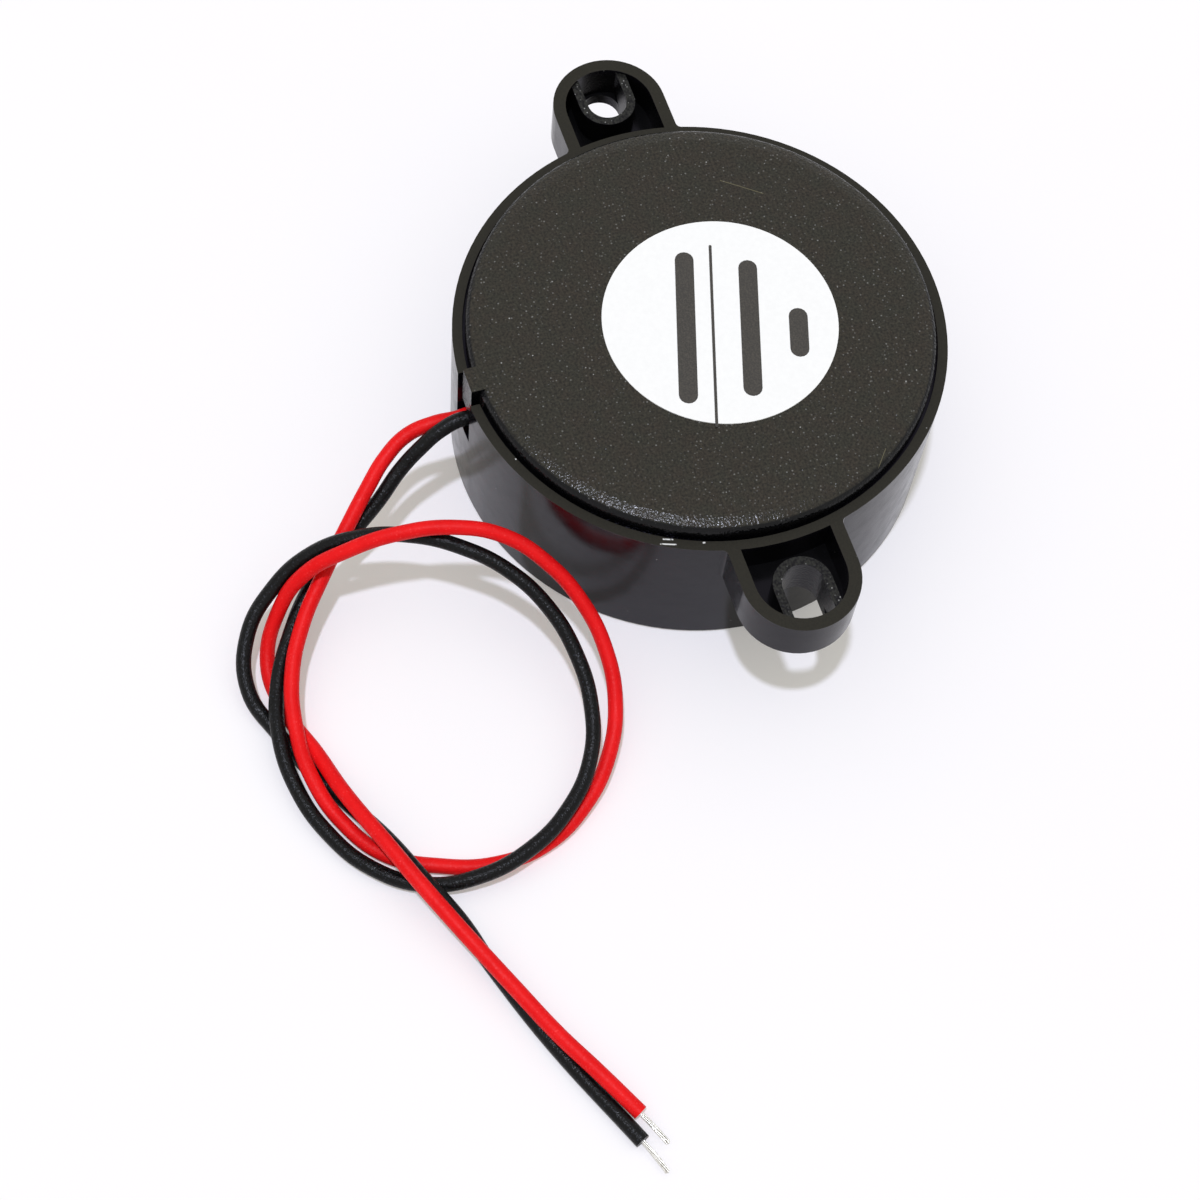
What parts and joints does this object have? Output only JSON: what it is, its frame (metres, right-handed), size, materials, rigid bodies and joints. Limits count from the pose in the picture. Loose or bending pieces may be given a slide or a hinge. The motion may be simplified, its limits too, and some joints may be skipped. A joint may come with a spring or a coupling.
{
  "type": "piezo buzzer",
  "caption": "Round flange mounted piezo buzzer in a black moulded housing with slotted ears, a textured back cover, and red and black leads that lie in a loose loop.",
  "frame": {"origin": "centre of the sounding face, which lies on the surface, on the axis of the round body", "axes": "+X through the two mounting slots, +Z from the sounding face to the back cover, -Y toward the cable slot"},
  "size_m": [0.0928, 0.0658, 0.0166],
  "materials": {
    "housing_plastic": "gloss black moulding",
    "cover_plastic": "fine spark eroded black texture",
    "label_paper": "matt white",
    "silicone": "cured bead, satin",
    "brass": "rolled, plain",
    "piezo_ceramic": "unglazed, lapped",
    "fired_silver": "matt fired silver",
    "solder": "satin solder",
    "board": "phenolic paper laminate",
    "transistor_body": "matt moulded epoxy",
    "resistor_body": "lacquered, with colour bands",
    "lacquered_wire": "lacquered copper",
    "tinned_wire": "tinned copper",
    "red_pvc": "satin PVC insulation",
    "black_pvc": "satin PVC insulation"
  },
  "bodies": {
    "root": {"housing": "housing_plastic", "back_cover": "cover_plastic", "label": "label_paper", "glue_ring": "silicone", "brass_plate": "brass", "ceramic_disc": "piezo_ceramic", "main_electrode": "fired_silver", "feedback_electrode": "fired_silver", "disc_solder": "solder", "circuit_board": "board", "board_solder": "solder", "transistor": "transistor_body", "transistor_legs": "tinned_wire", "resistor_1": "resistor_body", "resistor_2": "resistor_body", "resistor_3": "resistor_body", "resistor_wires": "tinned_wire", "ground_wire": "lacquered_wire", "drive_wire": "lacquered_wire", "feedback_wire": "lacquered_wire", "red_inner_end": "tinned_wire", "black_inner_end": "tinned_wire", "red_lead": "red_pvc", "black_lead": "black_pvc", "red_tinned_end": "tinned_wire", "black_tinned_end": "tinned_wire"}
  },
  "joints": []
}
